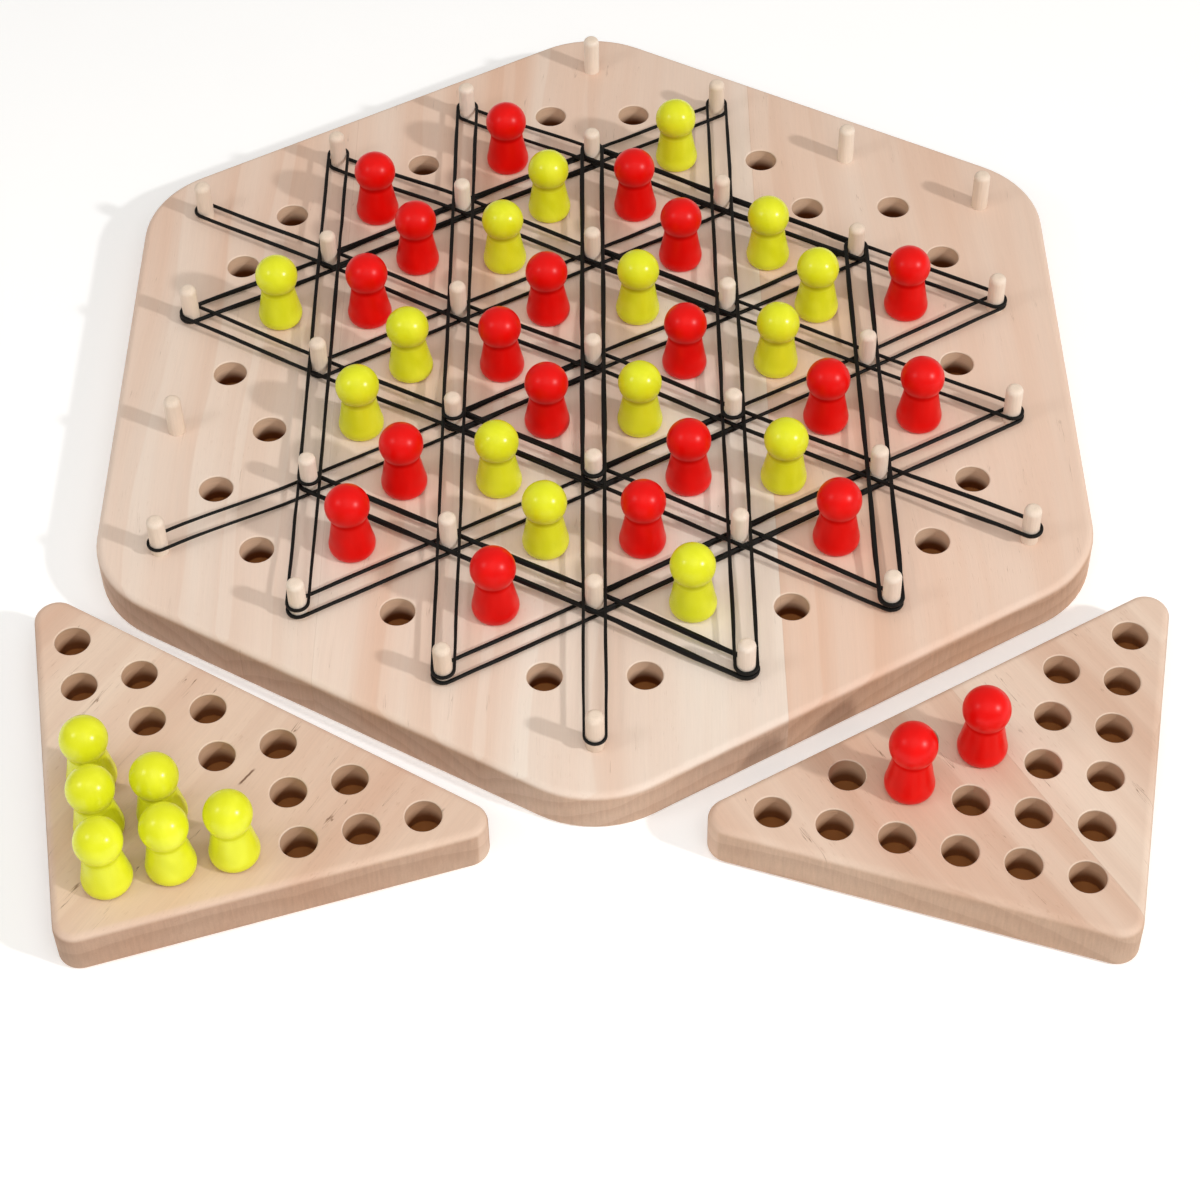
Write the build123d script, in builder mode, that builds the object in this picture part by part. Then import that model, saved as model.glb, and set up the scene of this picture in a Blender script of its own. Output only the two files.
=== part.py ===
from build123d import *
import math
import os

"""Hexagonal wooden peg board for a rubber-band triangle game, with two triangular pawn trays.

Millimetres. +Z is up and z = 0 is the table. The origin is the middle of the board's underside.
Two opposite corners of the board point along -Y (towards the player) and +Y; two of its flat
sides face -X and +X.
"""

os.makedirs("parts", exist_ok=True)

# ---------------------------------------------------------------- dimensions
pitch = 37.5  # peg to next peg along any of the three line directions
column = pitch * math.sqrt(3) / 2  # peg column to next peg column, along X
side_steps = 3  # steps along one side of the hexagon of pegs

board_apothem = side_steps * pitch  # centre to a flat side
board_corner_r = 24.5
board_thick = 11.0
top_round = 1.8  # board and trays
foot_round = 1.2

hole_r = 3.9  # pawn holes, board and trays
hole_depth = 7.4
hole_ease = 0.35  # rounded rim of a pawn hole

peg_r = 2.0
peg_height = 10.5  # above the board
peg_insert = 7.0  # glued length inside the board
peg_tip_round = 1.3
peg_foot_chamfer = 0.4
peg_glue_gap = 0.02  # all round
peg_hole_extra = 0.3  # depth of the drilled hole below the peg

tray_step = 13.0  # hole to next hole, square grid
tray_rows = 6  # 6 + 5 + 4 + 3 + 2 + 1 holes
tray_thick = board_thick
tray_apex_margin = 12.0  # corner hole's centre to each short side, square to the outer row
tray_tip_margin = 8.1  # last hole of an outer row to the same side, likewise
tray_long_side = 54.6  # corner hole's centre to the long side
tray_corner_r = 4.9

# Pawn: radii, and heights above the top face it stands on
pawn_stem = 5.5  # length below that face
pawn_foot_r = 3.7  # the stem flares a little towards its foot
pawn_foot_round = 0.5
pawn_stem_r = 3.5  # narrowest place, just under the shoulder
pawn_stem_top_z = -1.5
pawn_shoulder_r = pawn_stem_r + 0.1
pawn_shoulder_z = -0.5
pawn_seat_r = 4.2
pawn_seat_z = 0.15
pawn_skirt_r = 5.1  # widest place, before its edge is rounded
pawn_skirt_z = 2.8
pawn_skirt_bulge = (pawn_skirt_r - 0.25, 1.2)  # point on the arc from seat to skirt
pawn_skirt_round = 1.5
pawn_neck_r = 3.75
pawn_neck_round = 0.5
pawn_head_r = 4.85
pawn_head_z = 14.2  # centre of the ball
pawn_neck_z = pawn_head_z - math.sqrt(pawn_head_r**2 - pawn_neck_r**2)
pawn_top_z = pawn_head_z + pawn_head_r

band_w = 0.9  # across the strand, seen from above
band_h = 0.8  # strand height
band_round = 0.25
band_gap = 0.1  # strand to peg
band_steps = 3  # every band goes round four pegs in a line
band_span = band_steps * pitch
band_first_z = 0.75  # lowest strand's centre above the board
band_layer_step = 0.9  # strand centre to the one in the next layer

# ---------------------------------------------------------------- peg and hole grids
# A peg's steps are (k, y): its column, and its place along Y in pitches.
peg_steps = [
    (k, j - (2 * side_steps - abs(k)) / 2)
    for k in range(-side_steps, side_steps + 1)
    for j in range(2 * side_steps + 1 - abs(k))
]


def peg_centre(k, y):
    return (k * column, y * pitch)


def triangle_centres():
    """The middle of each of the 54 triangles of neighbouring pegs."""
    centres = []
    for k in range(-side_steps, side_steps):
        for j in range(-8, 9):
            y = j / 2
            for corners in (
                ((k, y), (k, y + 1), (k + 1, y + 0.5)),
                ((k + 1, y), (k + 1, y + 1), (k, y + 0.5)),
            ):
                if all(corner in peg_steps for corner in corners):
                    xs, ys = zip(*(peg_centre(*corner) for corner in corners))
                    centres.append((sum(xs) / 3, sum(ys) / 3))
    return centres


pegs_at = [peg_centre(*steps) for steps in peg_steps]
board_holes_at = triangle_centres()


# ---------------------------------------------------------------- shared helpers
def save(part, label):
    part.label = label
    export_step(part, f"parts/{label}.step")


def hole_rims(part_edges):
    """The top edges of the pawn holes."""
    top_circles = part_edges.filter_by(GeomType.CIRCLE).group_by(Axis.Z)[-1]
    return top_circles.filter_by(lambda edge: abs(edge.radius - hole_r) < 0.001)


# ---------------------------------------------------------------- board
def make_board():
    with BuildPart() as board:
        with BuildSketch(Plane.XY):
            RegularPolygon(board_apothem, 6, major_radius=False, rotation=90)
            fillet(vertices(), board_corner_r)
        extrude(amount=board_thick)
        fillet(faces().sort_by(Axis.Z)[-1].edges(), top_round)
        fillet(faces().sort_by(Axis.Z)[0].edges(), foot_round)
        with Locations(Plane.XY.offset(board_thick)):
            with Locations(*board_holes_at):
                Hole(hole_r, depth=hole_depth)
            # The rims are rounded before the peg holes join the top face.
            fillet(hole_rims(edges()), hole_ease)
            with Locations(*pegs_at):
                Hole(peg_r + peg_glue_gap, depth=peg_insert + peg_hole_extra)
    save(board.part, "board_panel")


def make_pegs():
    """All the dowel pegs, glued into the board."""
    with BuildPart() as pegs:
        with BuildSketch(Plane.XY.offset(board_thick - peg_insert)):
            with Locations(*pegs_at):
                Circle(peg_r)
        extrude(amount=peg_insert + peg_height)
        fillet(edges().group_by(Axis.Z)[-1], peg_tip_round)
        chamfer(edges().group_by(Axis.Z)[0], peg_foot_chamfer)
    save(pegs.part, "board_pegs")


make_board()
make_pegs()


# ---------------------------------------------------------------- trays
def tray_plane(x_steps, y_steps, turn):
    """A tray's plane on the table: origin under its corner hole, rows along +x and +y.

    The origin is in peg pitches; turn is the angle in degrees from the board's +X.
    """
    angle = math.radians(turn)
    return Plane(
        origin=(x_steps * pitch, y_steps * pitch, 0),
        x_dir=(math.cos(angle), math.sin(angle), 0),
        z_dir=(0, 0, 1),
    )


tray_planes = {
    "left_tray": tray_plane(-2.631, -3.876, turn=13.6),
    "right_tray": tray_plane(2.644, -3.925, turn=74.8),
}
tray_holes_at = [
    (i * tray_step, j * tray_step) for i in range(tray_rows) for j in range(tray_rows - i)
]


def crossing(line, other):
    """Where two lines meet, each given as (point, direction)."""
    (x, y), (run_x, run_y) = line
    (other_x, other_y), (other_run_x, other_run_y) = other
    along = (other_x - x) * other_run_y - (other_y - y) * other_run_x
    along /= run_x * other_run_y - run_y * other_run_x
    return (x + along * run_x, y + along * run_y)


def tray_outline():
    """The triangle's sharp corners, in the tray's own plane."""
    row_length = (tray_rows - 1) * tray_step
    taper = tray_apex_margin - tray_tip_margin
    long_x = tray_long_side / math.sqrt(2)
    side_x = ((0, -tray_apex_margin), (row_length, taper))
    side_y = ((-tray_apex_margin, 0), (taper, row_length))
    long_side = ((long_x, long_x), (1, -1))
    return [
        crossing(side_x, side_y),
        crossing(side_x, long_side),
        crossing(side_y, long_side),
    ]


def make_tray(label, plane):
    with BuildPart() as tray:
        with BuildSketch(plane):
            Polygon(*tray_outline(), align=None)
            fillet(vertices(), tray_corner_r)
        extrude(amount=tray_thick)
        fillet(faces().sort_by(Axis.Z)[-1].edges(), top_round)
        fillet(faces().sort_by(Axis.Z)[0].edges(), foot_round)
        with BuildSketch(plane.offset(tray_thick)):
            with Locations(*tray_holes_at):
                Circle(hole_r)
        extrude(amount=-hole_depth, mode=Mode.SUBTRACT)
        fillet(hole_rims(edges()), hole_ease)
    save(tray.part, label)


for label, plane in tray_planes.items():
    make_tray(label, plane)

# ---------------------------------------------------------------- pawns
# Per colour:
# board: holes as (x in thirds of a column, y in pitches)
# tray, tray_holes: the tray with its spare pawns, and their holes as (steps along x, along y)
pawns = {
    "red": {
        "board": [
            (-5, -1.5), (-2, -2.0), (1, -1.5), (5, -1.5),
            (-4, -1.0), (2, -1.0),
            (-1, -0.5), (5, -0.5), (7, -0.5),
            (-2, 0.0), (2, 0.0),
            (-5, 0.5), (-1, 0.5), (7, 0.5),
            (-4, 1.0), (2, 1.0),
            (-5, 1.5), (1, 1.5), (-2, 2.0),
        ],
        "tray": "right_tray",
        "tray_holes": [(1, 3), (2, 2)],
    },
    "yellow": {
        "board": [
            (2, -2.0), (-1, -1.5),
            (-2, -1.0), (4, -1.0),
            (-5, -0.5), (1, -0.5),
            (-4, 0.0), (4, 0.0),
            (-7, 0.5), (1, 0.5), (5, 0.5),
            (-2, 1.0), (4, 1.0),
            (-1, 1.5), (2, 2.0),
        ],
        "tray": "left_tray",
        "tray_holes": [(0, 0), (1, 0), (2, 0), (0, 1), (1, 1), (0, 2)],
    },
}  # fmt: skip


def board_seat(thirds, y):
    return Vector(thirds * column / 3, y * pitch, board_thick)


def tray_seat(tray, i, j):
    """Board-frame centre of a tray's hole, on the tray's top face."""
    return tray_planes[tray].from_local_coords(
        Vector(i * tray_step, j * tray_step, tray_thick)
    )


def make_pawn(label, seat):
    """A turned pawn; seat is its hole's centre on the top face."""
    foot_inner = (pawn_foot_r - pawn_foot_round, -pawn_stem)
    foot_outer = (pawn_foot_r, -pawn_stem + pawn_foot_round)
    seat_edge = (pawn_seat_r, pawn_seat_z)
    skirt = (pawn_skirt_r, pawn_skirt_z)
    neck = (pawn_neck_r, pawn_neck_z)
    top = (0, pawn_top_z)
    with BuildPart() as pawn:
        # Half profile: sketch x is the radius, sketch y is up.
        with BuildSketch(Plane(origin=seat, x_dir=(1, 0, 0), z_dir=(0, -1, 0))):
            with BuildLine():
                Polyline(top, (0, -pawn_stem), foot_inner)
                TangentArc(foot_inner, foot_outer, tangent=(1, 0))
                Polyline(
                    foot_outer,
                    (pawn_stem_r, pawn_stem_top_z),
                    (pawn_shoulder_r, pawn_shoulder_z),
                    seat_edge,
                )
                ThreePointArc(seat_edge, pawn_skirt_bulge, skirt)
                Line(skirt, neck)
                ThreePointArc(neck, (pawn_head_r, pawn_head_z), top)
            make_face()
            fillet(vertices().sort_by_distance(neck)[0], pawn_neck_round)
            fillet(vertices().sort_by_distance(skirt)[0], pawn_skirt_round)
        revolve(axis=Axis(seat, (0, 0, 1)))
    save(pawn.part, label)


for colour, places in pawns.items():
    seats = [board_seat(*place) for place in places["board"]]
    seats += [tray_seat(places["tray"], *place) for place in places["tray_holes"]]
    for number, seat in enumerate(seats, 1):
        make_pawn(f"{colour}_pawn_{number:02d}", seat)

# ---------------------------------------------------------------- rubber bands
# One step along each line direction, as (columns, pitches along Y)
rising = (1, 0.5)
falling = (1, -0.5)
down = (0, -1)

# name: (layer, direction, first peg of each band as (column, y))
# Layers go up in order. Bands that share a peg or cross are in different layers.
bands = {
    "rubber_bands_rising_lower": (
        0, rising, [(-3, -1.5), (-3, 0.5), (-2, -2), (-2, 0), (-1, -2.5)]
    ),
    "rubber_bands_rising_upper": (1, rising, [(-1, -0.5), (-2, 1), (0, -1), (0, -2)]),
    "rubber_bands_falling_lower": (
        2, falling, [(-3, 1.5), (-2, 2), (-1, 2.5), (-3, 0.5), (-2, -1)]
    ),
    "rubber_bands_falling_upper": (3, falling, [(0, 0), (0, 1), (0, 2), (-1, -0.5)]),
    "rubber_band_column_1_lower": (4, down, [(-2, 1)]),
    "rubber_band_column_1_upper": (5, down, [(-2, 2)]),
    "rubber_band_column_2_lower": (4, down, [(-1, 0.5)]),
    "rubber_band_column_2_upper": (5, down, [(-1, 2.5)]),
    "rubber_band_column_3_lower": (4, down, [(0, 0)]),
    "rubber_band_column_3_upper": (5, down, [(0, 2)]),
    "rubber_band_column_4_lower": (4, down, [(1, 0.5)]),
    "rubber_band_column_4_upper": (5, down, [(1, 2.5)]),
    "rubber_band_column_5": (4, down, [(2, 1)]),
}  # fmt: skip


def make_bands(label, layer, step, first_pegs):
    """The bands of one direction and layer, each a slot-shaped loop."""
    inner_r = peg_r + band_gap
    foot_z = board_thick + band_first_z + layer * band_layer_step - band_h / 2
    along = (*peg_centre(*step), 0)
    with BuildPart() as loops:
        for k, y in first_pegs:
            middle = peg_centre(k + step[0] * band_steps / 2, y + step[1] * band_steps / 2)
            with BuildSketch(Plane(origin=(*middle, foot_z), x_dir=along, z_dir=(0, 0, 1))):
                SlotCenterToCenter(band_span, 2 * (inner_r + band_w))
                SlotCenterToCenter(band_span, 2 * inner_r, mode=Mode.SUBTRACT)
            extrude(amount=band_h)
        fillet(edges().filter_by(Plane.XY), band_round)
    save(loops.part, label)


for label, (layer, step, first_pegs) in bands.items():
    make_bands(label, layer, step, first_pegs)
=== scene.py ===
"""A hexagonal wooden peg board with two trays, red and yellow pawns and stretched rubber bands.

The board lies flat round the origin with its upper face at z = 11 mm; two of its sides face +x
and -x. Both trays lie on its -y side, towards the camera. Sizes are in mm unless a note says
otherwise, and the scene is in metres.
"""
import math

import bmesh
import bpy
from mathutils import Matrix, Vector


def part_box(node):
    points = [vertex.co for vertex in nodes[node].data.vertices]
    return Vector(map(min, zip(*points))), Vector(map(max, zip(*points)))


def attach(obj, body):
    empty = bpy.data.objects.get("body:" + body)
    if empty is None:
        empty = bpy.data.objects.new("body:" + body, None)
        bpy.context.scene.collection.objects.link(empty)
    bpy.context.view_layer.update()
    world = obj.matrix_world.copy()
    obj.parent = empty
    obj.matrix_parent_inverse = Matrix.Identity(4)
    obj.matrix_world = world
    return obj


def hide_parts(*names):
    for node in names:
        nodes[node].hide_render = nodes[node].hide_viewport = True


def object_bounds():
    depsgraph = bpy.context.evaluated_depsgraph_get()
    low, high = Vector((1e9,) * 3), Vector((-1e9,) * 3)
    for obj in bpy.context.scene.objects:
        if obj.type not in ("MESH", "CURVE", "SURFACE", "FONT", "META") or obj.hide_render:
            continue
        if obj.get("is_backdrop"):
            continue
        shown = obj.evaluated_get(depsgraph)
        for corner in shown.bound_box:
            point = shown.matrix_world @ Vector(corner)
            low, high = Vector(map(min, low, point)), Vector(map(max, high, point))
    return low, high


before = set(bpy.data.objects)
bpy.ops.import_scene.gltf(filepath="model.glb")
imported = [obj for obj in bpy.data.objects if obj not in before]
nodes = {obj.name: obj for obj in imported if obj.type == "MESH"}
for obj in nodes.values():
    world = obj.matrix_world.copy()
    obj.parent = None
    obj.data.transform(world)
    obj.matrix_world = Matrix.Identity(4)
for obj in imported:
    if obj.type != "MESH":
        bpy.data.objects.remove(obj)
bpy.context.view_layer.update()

MM = 0.001

# ------------------------------------------------------------------ driving sizes
PITCH = 37.5  # from one peg to the next
COLUMN = PITCH * math.sqrt(3) / 2  # from one column of pegs to the next, in x
TOP = 11.0  # upper face of the board and the trays
APOTHEM = 3 * PITCH

# each tray's right-angled corner: turn of its first side in degrees, then x and y in pitches
TRAYS = {
    "left_tray": (13.6, -2.631, -3.876),
    "right_tray": (74.8, 2.644, -3.925),
}


def rgb(*display):
    """An 8-bit display colour as the linear colour that nodes use."""
    linear = []
    for level in display:
        level /= 255
        linear.append(level / 12.92 if level <= 0.04045 else ((level + 0.055) / 1.055) ** 2.4)
    return (*linear, 1.0)


def unit(*key):
    """A repeatable number from 0 to 1 for these keys."""
    mixed = 2166136261
    for char in "/".join(str(part) for part in key).encode():
        mixed = ((mixed ^ char) * 16777619) & 0xFFFFFFFF
    mixed ^= mixed >> 15
    mixed = (mixed * 2246822519) & 0xFFFFFFFF
    mixed ^= mixed >> 13
    return (mixed & 0xFFFFFF) / 0xFFFFFF


# ------------------------------------------------------------------ node networks
def operator(operation, swapped=False):
    """An arithmetic method that adds a math node."""

    def build(self, other):
        pair = (other, self) if swapped else (self, other)
        return self.net.math(operation, *pair)

    return build


class Field:
    """A node's output or a plain number; arithmetic on it adds math nodes."""

    def __init__(self, net, value):
        self.net = net
        self.value = value

    __add__, __radd__ = operator("ADD"), operator("ADD", swapped=True)
    __sub__, __rsub__ = operator("SUBTRACT"), operator("SUBTRACT", swapped=True)
    __mul__, __rmul__ = operator("MULTIPLY"), operator("MULTIPLY", swapped=True)
    __truediv__ = operator("DIVIDE")
    __gt__ = operator("GREATER_THAN")

    def __abs__(self):
        return self.net.math("ABSOLUTE", self)

    def swing(self, amount):
        """A 0 to 1 field moved to swing evenly round zero, over this full range."""
        return (self - 0.5) * amount


class Net:
    """The nodes of a material or a world, built by calls that take fields or plain values."""

    def __init__(self, owner):
        owner.use_nodes = True
        self.owner = owner
        self.tree = owner.node_tree
        self.tree.nodes.clear()

    def put(self, socket, value):
        if isinstance(value, Field):
            value = value.value
        if isinstance(value, bpy.types.NodeSocket):
            self.tree.links.new(value, socket)
        else:
            socket.default_value = value

    def add(self, kind, inputs=None, **props):
        """A new node; inputs are keyed by the socket's name or number."""
        node = self.tree.nodes.new(kind)
        for prop, value in props.items():
            setattr(node, prop, value)
        for socket, value in (inputs or {}).items():
            self.put(node.inputs[socket], value)
        return node

    def field(self, kind, inputs=None, output=0, **props):
        return Field(self, self.add(kind, inputs, **props).outputs[output])

    def math(self, operation, *values, clamp=False):
        inputs = dict(enumerate(values))
        return self.field("ShaderNodeMath", inputs, operation=operation, use_clamp=clamp)

    def largest(self, one, other):
        return self.math("MAXIMUM", one, other)

    def dot(self, one, other):
        inputs = {0: one, 1: other}
        return self.field("ShaderNodeVectorMath", inputs, "Value", operation="DOT_PRODUCT")

    def scaled(self, vector, factor):
        inputs = {0: vector, "Scale": factor}
        return self.field("ShaderNodeVectorMath", inputs, operation="SCALE")

    def shade(self, colour, factor):
        """The colour times a number."""
        if isinstance(colour, tuple):
            colour = colour[:3]
        return self.scaled(colour, factor)

    def split(self, vector):
        node = self.add("ShaderNodeSeparateXYZ", {0: vector})
        return [Field(self, output) for output in node.outputs]

    def join(self, x, y, z):
        return self.field("ShaderNodeCombineXYZ", {0: x, 1: y, 2: z})

    def grey(self, level):
        return self.join(level, level, level)

    def noise(self, vector, detail=2.0, rough=0.5, distort=0.0):
        inputs = {
            "Vector": vector,
            "Scale": 1.0,
            "Detail": detail,
            "Roughness": rough,
            "Distortion": distort,
        }
        return self.field("ShaderNodeTexNoise", inputs)

    def ramp(self, value, lo, hi, start=0.0, end=1.0):
        """Smoothly from start at value = lo to end at value = hi."""
        inputs = {"Value": value, "From Min": lo, "From Max": hi, "To Min": start, "To Max": end}
        return self.field(
            "ShaderNodeMapRange", inputs, interpolation_type="SMOOTHSTEP", clamp=True
        )

    def mix(self, factor, one, other):
        """The colour one at factor 0 and other at factor 1."""
        inputs = {0: factor, 6: one, 7: other}
        return self.field("ShaderNodeMix", inputs, output=2, data_type="RGBA", clamp_factor=True)

    def bump(self, height, distance, strength=0.5):
        """A normal for this height; the distance is in metres."""
        inputs = {"Strength": strength, "Distance": distance, "Height": height}
        return self.field("ShaderNodeBump", inputs)


class Surface(Net):
    """A new material with one principled shader."""

    def __init__(self, name):
        super().__init__(bpy.data.materials.new(name))
        output = self.add("ShaderNodeOutputMaterial")
        self.shader = self.add("ShaderNodeBsdfPrincipled")
        self.put(output.inputs["Surface"], self.shader.outputs[0])
        self.coord = self.add("ShaderNodeTexCoord").outputs

    def point(self):
        """The place on the object, in mm."""
        return self.scaled(self.coord["Object"], 1000.0)

    def facing(self, direction):
        """How squarely the face looks along or against the direction, from 0 to 1."""
        return abs(self.dot(self.coord["Normal"], direction))

    def finish(self, **inputs):
        for name, value in inputs.items():
            self.put(self.shader.inputs[name.replace("_", " ")], value)
        return self.owner


class Space:
    """Three coordinates in mm, for noise that is stretched along them."""

    def __init__(self, net, x, y, z):
        self.net = net
        self.axes = (x, y, z)

    def noise(self, freq, shift=0.0, **settings):
        """freq: noise units per mm along each axis; with two given, shift is the third place."""
        place = [axis * rate for axis, rate in zip(self.axes, freq)]
        if len(freq) == 2:
            place.append(shift)
        elif shift:
            place[2] = place[2] + shift
        return self.net.noise(self.net.join(*place), **settings)


# ------------------------------------------------------------------ wood
# ring: width of a growth ring; streaky: contrast of the bands; fibre: contrast of the fibres;
# cream, pink: the two tones of the face; wall: sides; bore: a hole's top; bore_deep: a hole's depth,
# painted in shade
BOARD_LOOK = {
    "ring": 4.6,
    "streaky": 0.75,
    "fibre": 0.09,
    "cream": rgb(239, 226, 213),
    "pink": rgb(229, 192, 168),
    "wall": rgb(186, 142, 108),
    "bore": rgb(226, 194, 166),
    "bore_deep": rgb(98, 50, 18),
}
LEFT_LOOK = {
    "ring": 6.5,
    "streaky": 1.0,
    "fibre": 0.14,
    "cream": rgb(231, 208, 188),
    "pink": rgb(216, 178, 154),
    "wall": rgb(166, 124, 94),
    "bore": rgb(212, 176, 146),
    "bore_deep": rgb(128, 82, 48),
}
RIGHT_LOOK = {
    **LEFT_LOOK,
    "cream": rgb(233, 210, 191),
    "pink": rgb(211, 171, 146),
    "wall": rgb(196, 160, 132),
}


def board_inside(net, x, y):
    """Over 0 more than 6 mm inside the hexagon."""
    border = 6.0
    wide = abs(x)
    slant = wide * 0.5 + abs(y) * (math.sqrt(3) / 2)
    return (APOTHEM - border) - net.largest(wide, slant)


def tray_inside(name):
    """A function like board_inside, for a tray: a triangle with a right angle at its origin."""
    degrees, column, row = TRAYS[name]
    origin_x, origin_y = column * PITCH, row * PITCH
    turn = math.radians(degrees)
    border = 3.6
    reach = 65.0  # a place far along each axis
    margin, reach_margin = 12.0, 8.1  # from an axis out to the edge, at the origin and at reach
    long_side = 54.6  # from the origin to the third edge
    slope = (margin - reach_margin) / reach

    def inside(net, x, y):
        from_x, from_y = x - origin_x, y - origin_y
        first = from_x * math.cos(turn) + from_y * math.sin(turn)
        second = from_y * math.cos(turn) - from_x * math.sin(turn)
        first_edge = second - first * slope + margin
        second_edge = first - second * slope + margin
        third_edge = long_side - (first + second) * (1 / math.sqrt(2))
        nearest = net.math("MINIMUM", first_edge, second_edge)
        return net.math("MINIMUM", nearest, third_edge) - border

    return inside


def from_seam(net, across, along, index):
    """The place across the fibres, as seen from a gently waving glue line."""
    wave = net.noise(net.join(0.0, along * 0.02, index * 5.0))
    return across + wave.swing(0.6)


def staves(net, across, along, seams, tints, far):
    """Which stave a point is in, and that stave's tint."""
    stave, tint = Field(net, 0.0), Field(net, tints[0])
    for index, seam in enumerate(seams):
        past = from_seam(net, across, along, index) > seam
        stave = stave + past
        tint = tint + past * (tints[index + 1] - tints[index])
    if far:
        near_far = net.ramp(along, far["start"], far["end"], end=far["share"])
        tint = tint + near_far * (far["tint"] - tint)
    return stave, tint


def late_wood(net, fibres, seed, ring_width):
    """The dark part of the growth rings, which lie round pith lines far below the face."""
    across, _, deep = fibres.axes
    depth = deep + 62.0
    beside = net.math("PINGPONG", across + 23.0 * seed, 58.0) - 12.0
    radius = net.math("SQRT", beside * beside + depth * depth)
    radius = radius + fibres.noise(freq=(0.10, 0.012, 0.1)) * 3.2
    ring = net.math("FRACT", radius / ring_width)
    return net.ramp(ring, 0.25, 0.9) * net.ramp(ring, 0.99, 0.93)


def long_cracks(net, fibres, seed, marks):
    """A few longer cracks and resin lines along the fibres."""
    patch = fibres.noise(freq=(0.55, 0.075), shift=11.0 + seed, detail=0.0)
    thin = fibres.noise(freq=(1.9, 0.10), shift=31.0 + seed, detail=0.5)
    return net.ramp(patch, 0.735, 0.76) * net.ramp(abs(thin - 0.5), 0.03, 0.0) * marks


def split_lines(net, x, y, splits):
    """Single splits, each tapered over 1.2 mm at its ends."""
    taper_length = 1.2
    lines = Field(net, 0.0)
    for x0, y0, x1, y1, half_width, tone in splits:
        length = math.hypot(x1 - x0, y1 - y0)
        way_x, way_y = (x1 - x0) / length, (y1 - y0) / length
        along = (x - x0) * way_x + (y - y0) * way_y
        aside = (y - y0) * way_x - (x - x0) * way_y
        aside = aside + net.noise(net.join(along * 0.5, x0, 0.0)).swing(0.5)
        taper = net.ramp(along, 0.0, taper_length)
        taper = taper * net.ramp(along, length, length - taper_length)
        line = net.ramp(abs(aside), half_width, half_width * 0.35)
        lines = net.largest(lines, taper * line * tone)
    return lines


def glue_lines(net, across, along, seams):
    groove = Field(net, 0.0)
    for index, seam in enumerate(seams):
        gap = abs(from_seam(net, across, along, index) - seam)
        groove = net.largest(groove, net.ramp(gap, 0.16, 0.04))
    return groove


def drilled(net, colour, place, inside, look):
    """The colour with the holes put in, and where the holes and their drill marks are."""
    x, y, z = place.axes
    hole = net.ramp(z, TOP - 0.12, TOP - 0.75) * net.ramp(z, 1.6, 2.4)
    hole = hole * (inside(net, x, y) > 0.0)
    drill = place.noise(freq=(0.25, 0.25, 3.2), detail=3.0, rough=0.7)
    # painted shade: pale near the rim, darkening to dark brown further down, then the hole's floor in
    # a shaded brown
    bore = net.mix(net.ramp(z, TOP - 2.4, TOP - 5.8), look["bore"], look["bore_deep"])
    bore = net.mix(net.ramp(z, TOP - 6.9, TOP - 7.35), bore, rgb(150, 96, 50))
    colour = net.mix(hole, colour, net.shade(bore, 0.86 + drill * 0.26))
    # a painted highlight: a bright line just under the face, round each hole's rim
    rim_highlight = net.ramp(z, TOP - 0.42, TOP - 0.30) * net.ramp(z, TOP - 0.02, TOP - 0.09)
    rim_highlight = rim_highlight * (inside(net, x, y) > 0.0)
    return net.mix(rim_highlight * 0.55, colour, rgb(240, 222, 202)), hole, drill


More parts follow.
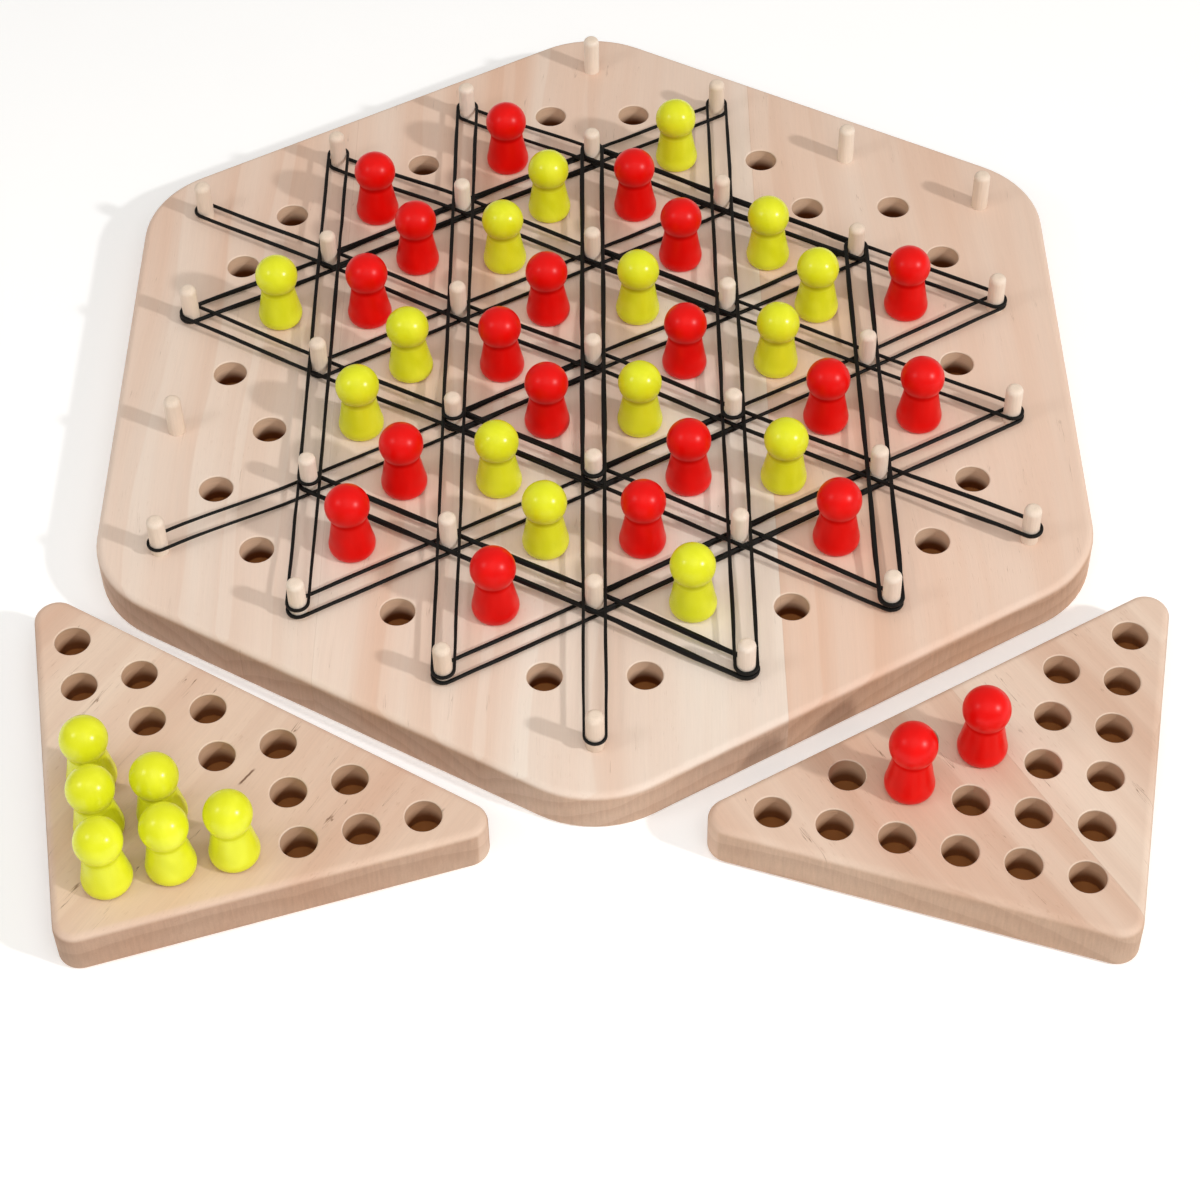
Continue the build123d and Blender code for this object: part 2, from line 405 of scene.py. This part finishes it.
def wood(name, grain_deg, seed, inside, tints, marks, look, seams=(), splits=(), far=None):
    """Pale sanded hardwood.

    grain_deg: direction of the fibres in the XY plane.
    inside: over 0 well inside the outline, which tells a hole's wall from the outer side.
    tints: each stave's place from cream (0) to pink (1). marks: strength of rays and cracks.
    seams: glue lines across the fibres.
    splits: both ends' x and y, half width, depth of tone.
    far: how the staves come together in tone along the fibres.
    """
    net = Surface(name)
    point = net.point()
    turn = {"Vector": point, "Angle": math.radians(90 - grain_deg)}
    turned = net.field("ShaderNodeVectorRotate", turn, rotation_type="Z_AXIS")
    place = Space(net, *net.split(point))
    x, y, _ = place.axes
    across, along, deep = net.split(turned)

    stave, tint = staves(net, across, along, seams, tints, far)
    # each stave takes its figure from another place, and the fibres wander slowly
    own = across + stave * 173.3
    wander = Space(net, own, along, deep).noise(freq=(0.012, 0.006), shift=seed, detail=1.0)
    fibres = Space(net, own + wander.swing(16.0), along, deep)
    late = late_wood(net, fibres, seed, look["ring"])

    # broad soft bands, narrower ones, and clouds that pass over the seams
    broad = fibres.noise(freq=(0.045, 0.0032, 0.03), shift=seed * 3.1, detail=1.5, rough=0.45)
    middle = fibres.noise(freq=(0.16, 0.007, 0.1), shift=seed * 7.7)
    clouds = Space(net, across, along, deep)
    cloud = clouds.noise(freq=(0.012, 0.010), shift=seed * 2.3, detail=1.0)
    # fibres, and short darker rays that gather in places
    fibre = fibres.noise(freq=(2.3, 0.055, 2.3), detail=3.0, rough=0.6)
    fine = fibres.noise(freq=(6.5, 0.28, 6.5), rough=0.6)
    ray = fibres.noise(freq=(3.1, 0.42, 3.1), shift=40.0, detail=0.0)
    where = fibres.noise(freq=(0.07, 0.02), shift=seed * 1.7, detail=1.0)
    rays = net.ramp(ray, 0.70, 0.78) * net.ramp(where, 0.46, 0.62, start=0.25)

    # the face
    streaky = look["streaky"]
    bands = broad.swing(1.7 * streaky) + middle.swing(0.8 * streaky)
    pinkness = net.math("ADD", bands + tint, late * 0.16, clamp=True)
    light = 1.0 + fibre.swing(look["fibre"]) + fine.swing(0.05) + cloud.swing(0.12)
    light = light - late * 0.025
    colour = net.shade(net.mix(pinkness, look["cream"], look["pink"]), light)
    colour = net.mix(rays * (0.20 * marks), colour, rgb(176, 132, 100))
    crack = long_cracks(net, fibres, seed, marks)
    colour = net.mix(crack * 0.75, colour, rgb(126, 92, 66))
    split_line = split_lines(net, x, y, splits)
    if splits:
        colour = net.mix(split_line, colour, rgb(104, 68, 44))

    # the sides, sawn, with end grain where they cut across the fibres
    grain = math.radians(grain_deg)
    end_on = net.facing((math.cos(grain), math.sin(grain), 0.0))
    side = net.ramp(net.facing((0.0, 0.0, 1.0)), 0.75, 0.2)
    end = net.ramp(end_on, 0.25, 0.8)
    pores = fibres.noise(freq=(2.6, 2.6, 2.6))
    saw = place.noise(freq=(1.5, 1.5, 0.16), detail=3.0, rough=0.65)
    wall = net.mix(0.62, colour, look["wall"])
    wall = net.shade(wall, 1.0 + (saw.swing(0.34) + pores.swing(0.12)))
    wall = net.shade(wall, 1.0 - late * 0.07)
    wall = net.shade(wall, 1.0 - end * 0.10)
    colour = net.mix(side * net.ramp(end, 0.0, 0.3, start=0.55), colour, wall)

    colour, hole, drill = drilled(net, colour, place, inside, look)
    groove = glue_lines(net, across, along, seams)
    if seams:
        colour = net.mix(groove * 0.16, colour, rgb(170, 130, 100))

    # relief: each mark's depth against the fibres'
    face = fibre * 0.6 + fine * 0.4 - rays * 0.7 - crack * 2.2 - groove * 0.5 - split_line * 3.0
    relief = net.mix(side, net.grey(face), net.grey(saw * 1.6 + pores * 0.8))
    relief = net.mix(hole, relief, net.grey(drill * 3.0))
    return net.finish(
        Base_Color=colour,
        Roughness=0.50 + fibre * 0.14 + net.largest(side, hole) * 0.14,
        Normal=net.bump(relief, distance=0.00006),
        Specular_IOR_Level=0.32,
    )


def tray_wood(name, **settings):
    """Tray wood, its fibres running halfway between the tray's two short sides."""
    return wood(name + "_wood", TRAYS[name][0] + 45.0, inside=tray_inside(name), marks=1.0, **settings)


def dowel():
    """Pale turned wood with its fibres upright."""
    net = Surface("dowel_wood")
    point = net.point()
    place = Space(net, *net.split(point))
    own = place.noise(freq=(0.05, 0.05), shift=3.0, detail=0.0)
    streak = place.noise(freq=(2.4, 2.4, 0.10), detail=3.0, rough=0.6)
    fine = place.noise(freq=(7.0, 7.0, 0.5))
    tip = net.ramp(net.facing((0.0, 0.0, 1.0)), 0.55, 0.95)
    pores = net.noise(net.scaled(point, 5.5))
    colour = net.mix(net.ramp(own, 0.35, 0.65), rgb(243, 229, 214), rgb(234, 215, 197))
    colour = net.shade(colour, 1.0 + (streak.swing(0.22) + fine.swing(0.10)))
    end = net.shade(rgb(234, 214, 194), 0.82 + pores * 0.34)
    return net.finish(
        Base_Color=net.mix(tip * 0.75, colour, end),
        Roughness=0.48 + fine * 0.15,
        Normal=net.bump(streak + fine * 0.5, distance=0.00007),
        Specular_IOR_Level=0.32,
    )


# ------------------------------------------------------------------ plastic and rubber
def plastic(name, deep, body, sheen_tone, gloss, shine, hollow):
    """Glossy moulded plastic with a slow change of tone and a slightly uneven skin.

    deep, body: tones; sheen_tone: a painted sheen tone towards the outline; gloss: least roughness;
    shine: specular level;
    hollow: how much painted shade darkens the hollow under the head.
    """
    net = Surface(name)
    point = net.point()
    stretch = {0: point, 1: (0.16, 0.16, 0.08)}
    drawn = net.field("ShaderNodeVectorMath", stretch, operation="MULTIPLY")
    flow = net.noise(drawn, distort=0.6)
    skin = net.noise(net.scaled(point, 1.1), rough=0.55)
    dust = net.noise(net.scaled(point, 6.5), detail=1.0)
    edge = net.field("ShaderNodeLayerWeight", {"Blend": 0.35}, output="Facing")
    # the hollow is dull, and its colour is painted a little darker as shade under the head
    hollow_z = 10.9
    crease = net.ramp(abs(net.split(point)[2] - hollow_z), 1.5, 0.3)
    colour = net.mix(net.ramp(flow, 0.3, 0.7), deep, body)
    # painted sheen: towards the outline the colour turns to the lighter sheen tone, but not in the
    # hollow
    colour = net.mix(net.ramp(edge, 0.35, 1.0) * (0.35 - crease * 0.35), colour, sheen_tone)
    rough = gloss + skin * 0.06 + net.ramp(dust, 0.60, 0.75) * 0.04 + crease * 0.30
    return net.finish(
        # the painted shade in the hollow
        Base_Color=net.shade(colour, 1.0 - crease * hollow),
        Roughness=rough,
        Normal=net.bump(skin, distance=0.0001, strength=0.02),
        IOR=1.5,
        Specular_IOR_Level=shine * (1.0 - crease * 0.85),
    )


def rubber():
    """Black rubber with a trace of grey powder."""
    net = Surface("band_rubber")
    point = net.point()
    body = net.noise(net.scaled(point, 0.12))
    powder = net.noise(net.scaled(point, 2.4), detail=3.0, rough=0.65)
    weave = net.noise(net.scaled(point, 5.0), detail=1.0)
    colour = net.mix(net.ramp(body, 0.35, 0.65), rgb(12, 10, 9), rgb(16, 17, 17))
    return net.finish(
        Base_Color=net.mix(net.ramp(powder, 0.55, 0.8) * 0.25, colour, rgb(44, 47, 46)),
        Roughness=0.42 + powder * 0.25,
        Normal=net.bump(powder + weave, distance=0.00005),
        Specular_IOR_Level=0.22,
    )


wooden = {
    "board_panel": wood(
        "board_wood",
        grain_deg=90.0,
        seed=1.0,
        inside=board_inside,
        seams=(-61.0, 41.0),
        tints=(0.38, 0.26, 0.68),
        marks=0.35,
        look=BOARD_LOOK,
        far={"start": -45.0, "end": 75.0, "tint": 0.60, "share": 0.85},
    ),
    "left_tray": tray_wood(
        "left_tray",
        seed=4.0,
        tints=(0.42,),
        look=LEFT_LOOK,
        splits=((-74.5, -121.9, -71.1, -117.2, 0.34, 0.85),),
    ),
    "right_tray": tray_wood(
        "right_tray", seed=7.0, seams=(17.0,), tints=(0.62, 0.28), look=RIGHT_LOOK
    ),
    "board_pegs": dowel(),
}
for node, material in wooden.items():
    piece = nodes[node]
    if not piece.material_slots:
        piece.data.materials.append(material)
    for slot in piece.material_slots:
        slot.link = "OBJECT"
        slot.material = material

red = plastic(
    "red_plastic",
    deep=rgb(228, 6, 2),
    body=rgb(240, 10, 5),
    sheen_tone=rgb(240, 14, 8),
    gloss=0.30,
    shine=0.24,
    hollow=0.05,
)
yellow = plastic(
    "yellow_plastic",
    deep=rgb(226, 230, 30),
    body=rgb(238, 242, 50),
    sheen_tone=rgb(243, 245, 88),
    gloss=0.22,
    shine=0.38,
    hollow=0.14,
)
black = rubber()


# ------------------------------------------------------------------ mesh helpers
def smooth_mesh(name, build, material):
    bmesh.ops.recalc_face_normals(build, faces=build.faces)
    for face in build.faces:
        face.smooth = True
    mesh = bpy.data.meshes.new(name)
    build.to_mesh(mesh)
    build.free()
    mesh.materials.append(material)
    return mesh


def add_object(name, data):
    item = bpy.data.objects.new(name, data)
    bpy.context.scene.collection.objects.link(item)
    return item


def stand_in(item, node, slot):
    """Puts the object in place of the CAD piece."""
    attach(item, node)
    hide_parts(node)


# ------------------------------------------------------------------ pawns
STEM_R, STEM_DEPTH = 3.5, 5.5
FOOT_R, FOOT_ROUND = 3.7, 0.5
HEAD_R, HEAD_Z, HEAD_START_Z = 5.05, 14.0, 12.1

# outlines as (radius, height above the board)
STEM = [(3.62, -3.6), (3.55, -2.4), (STEM_R, -1.4), (STEM_R + 0.03, -0.8)]
HIP = [  # the shoulder under the skirt, then the rounded hip
    (3.62, -0.42), (3.80, -0.12), (4.08, 0.06), (4.42, 0.18), (4.74, 0.36), (4.96, 0.60),
    (5.12, 0.95), (5.23, 1.35), (5.29, 1.8), (5.29, 2.25), (5.24, 2.7), (5.14, 3.15),
    (5.03, 3.6),
]
WAIST = [  # the hollow waist, up to the head's ball
    (4.19, 8.4), (4.11, 8.9), (4.05, 9.4), (4.01, 9.8), (3.99, 10.15), (4.0, 10.4),
    (4.05, 10.65), (4.12, 10.85), (4.21, 11.05), (4.32, 11.3), (4.44, 11.55), (4.55, 11.8),
]
CONE_Z = (4.0, 4.8, 5.6, 6.4, 7.2, 7.8)
CONE_R, CONE_TAPER = 4.95, 0.178  # radius at the cone's first height, and its loss per mm


def pawn_profile():
    """Outline of half a pawn, from the foot's middle to the head's top."""
    points = [(radius, -STEM_DEPTH) for radius in (0.0, 1.2, 2.4)]
    for i in range(5):
        angle = math.radians(-90 + 90 * i / 4)
        radius = FOOT_R - FOOT_ROUND + FOOT_ROUND * math.cos(angle)
        points.append((radius, -STEM_DEPTH + FOOT_ROUND + FOOT_ROUND * math.sin(angle)))
    points += STEM + HIP
    points += [(CONE_R - CONE_TAPER * (z - CONE_Z[0]), z) for z in CONE_Z]
    points += WAIST
    start = math.asin((HEAD_START_Z - HEAD_Z) / HEAD_R)
    for i in range(25):
        angle = start + (math.pi / 2 - start) * i / 24
        radius = HEAD_R * math.cos(angle) if i < 24 else 0.0
        points.append((radius, HEAD_Z + HEAD_R * math.sin(angle)))
    return points


def lathe(name, profile, material, sides=64):
    """The profile turned round z; a point of no radius closes an end."""
    build = bmesh.new()
    rings = []
    for radius, z in profile:
        if radius <= 1e-6:
            rings.append([build.verts.new((0, 0, z * MM))])
            continue
        ring = []
        for k in range(sides):
            angle = 2 * math.pi * k / sides
            place = (radius * MM * math.cos(angle), radius * MM * math.sin(angle), z * MM)
            ring.append(build.verts.new(place))
        rings.append(ring)
    for below, above in zip(rings, rings[1:]):
        for k in range(sides):
            after = (k + 1) % sides
            if len(below) == 1:
                build.faces.new((below[0], above[after], above[k]))
            elif len(above) == 1:
                build.faces.new((below[k], below[after], above[0]))
            else:
                build.faces.new((below[k], below[after], above[after], above[k]))
    return smooth_mesh(name, build, material)


pawn_mesh = {
    "red": lathe("red_pawn_mesh", pawn_profile(), red),
    "yellow": lathe("yellow_pawn_mesh", pawn_profile(), yellow),
}
for node in sorted(nodes):
    if "_pawn_" not in node:
        continue
    colour = node.split("_")[0]
    lo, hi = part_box(node)
    pawn = add_object("moulded_" + node, pawn_mesh[colour])
    # each leans a little its own way
    lean = math.radians(0.2 + 1.1 * unit(node, "lean"))
    toward = 2 * math.pi * unit(node, "toward")
    spin = 2 * math.pi * unit(node, "spin")
    axis = Vector((-math.sin(toward), math.cos(toward), 0))
    place = Vector(((lo.x + hi.x) / 2, (lo.y + hi.y) / 2, TOP * MM))
    tilt = Matrix.Rotation(lean, 4, axis) @ Matrix.Rotation(spin, 4, "Z")
    pawn.matrix_world = Matrix.Translation(place) @ tilt
    stand_in(pawn, node, colour + "_plastic")


# ------------------------------------------------------------------ rubber bands
# step from peg to peg, as columns in x and pitches in y; each loop spans four pegs
RISING, FALLING, COLUMNWISE = (1, 0.5), (1, -0.5), (0, -1)

# piece: (layer, step, loops). A loop is its first peg's column and y in pitches, its thickness
# against the usual one at its first and last peg, and how high its ends were pushed, as
# {peg number: height of the strand's centre above the wood}; other ends lie as low as they can.
BANDS = {
    "rubber_bands_rising_lower": (0, RISING, [
        (-3, -1.5, 0.75, 0.78, {0: 2.7}),
        (-3, 0.5, 1.35, 1.05, {0: 1.4}),
        (-2, -2, 1.00, 0.85, {0: 1.3}),
        (-2, 0, 1.00, 1.00, {}),
        (-1, -2.5, 1.05, 0.85, {0: 1.1}),
    ]),
    "rubber_bands_rising_upper": (1, RISING, [
        (-1, -0.5, 0.92, 1.18, {}),
        (-2, 1, 0.85, 1.00, {}),
        (0, -1, 0.98, 0.98, {3: 1.8}),
        (0, -2, 0.92, 1.25, {3: 1.3}),
    ]),
    "rubber_bands_falling_lower": (2, FALLING, [
        (-3, 1.5, 1.05, 1.18, {0: 1.9}),
        (-2, 2, 1.12, 1.20, {0: 0.9}),
        (-1, 2.5, 0.95, 0.85, {0: 1.0}),
        (-3, 0.5, 1.00, 1.22, {0: 2.35}),
        (-2, -1, 1.50, 1.65, {3: 1.6}),
    ]),
    "rubber_bands_falling_upper": (3, FALLING, [
        (0, 0, 1.20, 1.15, {3: 3.6}),
        (0, 1, 1.00, 0.95, {3: 2.6}),
        (0, 2, 1.00, 1.10, {3: 2.75}),
        (-1, -0.5, 1.20, 1.20, {3: 1.2}),
    ]),
    "rubber_band_column_1_lower": (4, COLUMNWISE, [(-2, 1, 0.88, 0.82, {3: 3.45})]),
    "rubber_band_column_1_upper": (5, COLUMNWISE, [(-2, 2, 1.02, 0.85, {0: 3.8})]),
    "rubber_band_column_2_lower": (4, COLUMNWISE, [(-1, 0.5, 1.02, 0.85, {3: 2.8})]),
    "rubber_band_column_2_upper": (5, COLUMNWISE, [(-1, 2.5, 1.10, 1.00, {0: 3.2})]),
    "rubber_band_column_3_lower": (4, COLUMNWISE, [(0, 0, 1.40, 0.70, {3: 3.4})]),
    "rubber_band_column_3_upper": (5, COLUMNWISE, [(0, 2, 1.32, 1.38, {})]),
    "rubber_band_column_4_lower": (4, COLUMNWISE, [(1, 0.5, 1.15, 1.02, {3: 2.9})]),
    "rubber_band_column_4_upper": (5, COLUMNWISE, [(1, 2.5, 0.95, 1.20, {0: 3.2})]),
    "rubber_band_column_5": (4, COLUMNWISE, [(2, 1, 1.38, 1.36, {3: 2.8})]),
}
STRAND_W, STRAND_H = 0.86, 0.78
PEG_W = 0.76  # a strand is squeezed narrower where it passes a peg
NEST = 0.06  # the air left between two bands that share a line, one lying on the other
FLATTEN = 0.28  # and how much each gives in height there, pressed on the other
PEG_R = 2.0
PEG_AIR = 0.05  # between a peg and the strand round it
LIE = 0.92  # one strand's rise over the strand below it
LOW = 0.50  # centre of a strand that lies on the wood
FLAT = 6.4  # a strand keeps its height this far each side of a peg
EASE = 5.0  # and over this length it comes free of the peg
SECTION = 14  # points round a strand
STRAIGHT_STEPS, TURN_STEPS = 48, 16


def smooth(share):
    share = min(1.0, max(0.0, share))
    return share * share * (3 - 2 * share)


def wobble(key, place, period):
    """Smooth repeatable noise from -1 to 1 along a line."""
    i = math.floor(place / period)
    share = smooth(place / period - i)
    return 2 * (unit(key, i) * (1 - share) + unit(key, i + 1) * share) - 1


def eased(along):
    """How free of the pegs a strand is, this far past a peg, from 0 to 1."""
    return smooth((min(along, PITCH - along) - FLAT) / EASE)


class Loop:
    """One band round four pegs; t is the distance from its first peg."""

    def __init__(self, node, number, layer, step, row):
        column, y, self.thick_first, self.thick_last, self.pushed = row
        self.node = node
        self.order = (layer, node, number)
        self.key = node + str(number)
        self.pegs = [(column + step[0] * i, y + step[1] * i) for i in range(4)]
        self.levels = [0.0] * 4
        self.start, self.end = (
            Vector((self.pegs[i][0] * COLUMN, self.pegs[i][1] * PITCH)) for i in (0, 3)
        )
        self.span = (self.end - self.start).length

    def lines(self):
        """The pairs of pegs it runs between."""
        return list(zip(self.pegs, self.pegs[1:]))

    def thickness(self, t):
        """Width between pegs, width at a peg, and height against the usual one."""
        share = min(1.0, max(0.0, t / (3 * PITCH)))
        thick = self.thick_first + (self.thick_last - self.thick_first) * share
        # a band along y shows its width, a slanting one shows mostly its height
        ahead = "column" in self.node
        wide = STRAND_W * (thick if ahead else 1.0 + 0.6 * (thick - 1.0))
        at_peg = PEG_W * (1.0 + 0.7 * (wide / STRAND_W - 1.0))
        return wide, at_peg, 1.0 + (0.4 if ahead else 1.15) * (thick - 1.0)

    def reach(self, t):
        """From the line of pegs out to the strand's centre, at a peg."""
        return PEG_R + PEG_AIR + self.thickness(t)[1] / 2

    def pressed(self, t):
        """How far the strand is flattened by the other band on its line, from 0 to 1."""
        i = min(2, max(0, int(t / PITCH)))
        if len(shared[self.lines()[i]]) < 2:
            return 0.0
        return eased(t - i * PITCH)

    def height(self, t):
        """The strand's centre above the wood."""
        if t <= 0:
            return self.levels[0]
        if t >= self.span:
            return self.levels[3]
        i = min(2, int(t / PITCH))
        along = t - i * PITCH
        share = min(1.0, max(0.0, (along - FLAT) / (PITCH - 2 * FLAT)))
        near, far = self.levels[i : i + 2]
        z = near + (far - near) * share
        # beside another band on the same pegs, the lower one is drawn up against the upper
        for other, j in shared[self.lines()[i]]:
            other_near, other_far = other.levels[j : j + 2]
            if other is self or other_near + other_far <= near + far:
                continue
            gap = other_near + (other_far - other_near) * share - z
            tall = self.thickness(t)[2] + other.thickness(j * PITCH + along)[2]
            rest = (1.0 - FLATTEN) * STRAND_H * tall / 2 + NEST
            if gap > rest:
                z += (gap - rest) * eased(along)
        return z

    def path(self):
        """Stations round the loop: centre, height, way out, twist, freedom from pegs and t."""
        ahead = (self.end - self.start).normalized()
        left = Vector((-ahead.y, ahead.x))
        stations = []
        for side in (1, -1):
            for i in range(STRAIGHT_STEPS):
                share = i / STRAIGHT_STEPS
                t = self.span * i / STRAIGHT_STEPS if side == 1 else self.span * (1 - share)
                near = min(abs(t - j * PITCH) for j in range(4))
                free = smooth((near - FLAT) / EASE)
                off = self.reach(t) + 0.10 * free * wobble(f"{self.key}o{side}", t, 14.0)
                z = self.height(t) + 0.03 * free * wobble(f"{self.key}z{side}", t, 11.0)
                twist = (0.42 - 0.27 * self.pressed(t)) * free
                twist *= wobble(f"{self.key}t{side}", t, 19.0)
                centre = self.start + ahead * t + left * side * off
                stations.append((centre, z, left * side, twist, free, t))
            peg, level, t = (
                (self.end, self.levels[3], self.span)
                if side == 1
                else (self.start, self.levels[0], 0.0)
            )
            for i in range(TURN_STEPS):
                angle = math.pi * i / TURN_STEPS
                out = left * side * math.cos(angle) + ahead * side * math.sin(angle)
                stations.append((peg + out * self.reach(t), level, out, 0.0, 0.0, t))
        return stations


def strand_section(twist, width, height):
    """A rounded rectangle's points, turned by twist, as (across, up)."""
    points = []
    power = 2 / 3.2  # the squareness of the corners
    for i in range(SECTION):
        angle = 2 * math.pi * i / SECTION
        cosine, sine = math.cos(angle), math.sin(angle)
        x = math.copysign(abs(cosine) ** power, cosine) * width / 2
        y = math.copysign(abs(sine) ** power, sine) * height / 2
        across = x * math.cos(twist) - y * math.sin(twist)
        points.append((across, x * math.sin(twist) + y * math.cos(twist)))
    return points


def add_band(build, loop):
    rings = []
    for i, (centre, z, out, twist, free, t) in enumerate(loop.path()):
        squeeze = 1.0 + 0.05 * wobble(loop.key + "w", i, 6.0)
        free_w, peg_w, tall = loop.thickness(t)
        wide = peg_w + (free_w - peg_w) * free
        high = STRAND_H * (1.0 + (0.5 * free + 0.5) * (tall - 1.0))
        high *= 1.0 - FLATTEN * loop.pressed(t)
        ring = []
        for across, up in strand_section(twist, wide * squeeze, high * (2 - squeeze)):
            place = centre + out * across
            ring.append(build.verts.new((place.x * MM, place.y * MM, (TOP + z + up) * MM)))
        rings.append(ring)
    for ring, after in zip(rings, rings[1:] + rings[:1]):
        for k in range(SECTION):
            m = (k + 1) % SECTION
            build.faces.new((ring[k], ring[m], after[m], after[k]))


bands = {
    node: [Loop(node, number, layer, step, row) for number, row in enumerate(rows)]
    for node, (layer, step, rows) in BANDS.items()
}
stack = {}  # the loops on each peg, with the peg's number in the loop
shared = {}  # the loops between each pair of pegs, with the line's number in the loop
for loops in bands.values():
    for loop in loops:
        for i, peg in enumerate(loop.pegs):
            stack.setdefault(peg, []).append((loop, i))
        for i, line in enumerate(loop.lines()):
            shared.setdefault(line, []).append((loop, i))

# on each peg a band rests on those of the layers before it
for on_peg in stack.values():
    on_peg.sort(key=lambda entry: entry[0].order)
    level = LOW + (0.55 if len(on_peg) <= 3 else 0.25 if len(on_peg) == 4 else 0.0)
    for rank, (loop, i) in enumerate(on_peg):
        pushed = loop.pushed.get(i, 0.0)
        level = pushed if rank == 0 and pushed else max(level, pushed)
        loop.levels[i] = level
        level += LIE

for node, loops in bands.items():
    build = bmesh.new()
    for loop in loops:
        add_band(build, loop)
    name = "stretched_" + node
    band = add_object(name, smooth_mesh(name, build, black))
    stand_in(band, node, "band_rubber")


# ------------------------------------------------------------------ floor, light and camera
def pale_floor():
    net = Surface("pale_floor")
    speck = net.noise(net.scaled(net.coord["Object"], 60.0), detail=3.0)
    return net.finish(
        Base_Color=net.shade(rgb(247, 247, 247), 0.99 + speck.swing(0.015)),
        Roughness=0.8,
        Specular_IOR_Level=0.1,
        Emission_Color=(0.94, 0.98, 1.0, 1.0),
        Emission_Strength=0.22,
    )


bpy.ops.mesh.primitive_plane_add(size=14.0, location=(0, 0, 0))
floor = bpy.context.object
floor.name = "floor"
floor.data.materials.append(pale_floor())
floor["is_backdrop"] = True


def lamp(name, toward_light, distance, size, power, colour, glossy=True):
    """A round soft light that faces the origin; lengths are in metres, power in watts."""
    data = bpy.data.lights.new(name, "AREA")
    data.shape = "DISK"
    data.size = size
    data.energy = power
    data.color = colour
    light = add_object(name, data)
    direction = Vector(toward_light).normalized()
    light.rotation_mode = "QUATERNION"
    light.rotation_quaternion = direction.to_track_quat("Z", "Y")
    light.location = direction * distance
    light.visible_glossy = glossy


lamp(
    "key",
    toward_light=(0.722, -0.398, 0.566),
    distance=1.7,
    size=0.096,
    power=11.6,
    colour=(0.985, 0.98, 0.97),
)
lamp(
    "fill_left",
    toward_light=(-0.65, -0.346, 0.686),
    distance=0.75,
    size=0.17,
    power=0.55,
    colour=(0.97, 0.985, 1.0),
)
lamp(
    "front_soft",
    toward_light=(0.06, -0.52, 0.85),
    distance=0.72,
    size=0.55,
    power=1.38,
    colour=(1.0, 0.99, 0.98),
    glossy=False,
)


def studio(world):
    """Warm light that grows towards the top; the camera itself sees plain grey."""
    net = Net(world)
    up = net.split(net.field("ShaderNodeTexCoord", output="Generated"))[2]
    rise = {"Value": up, "From Min": -0.1, "From Max": 1.0, "To Min": 0.275, "To Max": 0.545}
    strength = net.field("ShaderNodeMapRange", rise)
    warm = {"Color": (1.0, 0.95, 0.89, 1), "Strength": strength}
    light = net.field("ShaderNodeBackground", warm)
    backdrop = net.field("ShaderNodeBackground", {"Color": (0.93, 0.93, 0.93, 1)})
    seen = net.field("ShaderNodeLightPath", output="Is Camera Ray")
    both = net.field("ShaderNodeMixShader", {0: seen, 1: light, 2: backdrop})
    net.add("ShaderNodeOutputWorld", {0: both})


scene = bpy.context.scene
scene.world = bpy.data.worlds.new("studio")
studio(scene.world)

# the camera's place in metres, and its own axes
CAMERA_PLACE = (0.00559702, -0.46688465, 0.47460068)
CAMERA_AXES = (
    (0.99988869, -0.00528445, -0.01395257),  # right
    (0.01342773, 0.72637567, 0.68716671),  # up
    (0.00650351, -0.68727757, 0.72636578),  # back
)
camera_data = bpy.data.cameras.new("camera")
camera = add_object("camera", camera_data)
turn = Matrix(CAMERA_AXES).transposed().to_4x4()
camera.matrix_world = Matrix.Translation(CAMERA_PLACE) @ turn
camera_data.sensor_width = 36.0
camera_data.lens = 82.80984
camera_data.shift_y = -0.12166667
camera_data.clip_start = 0.01
camera_data.clip_end = 50.0
scene.camera = camera

scene.view_settings.view_transform = "Standard"
scene.view_settings.look = "None"

lo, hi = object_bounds()
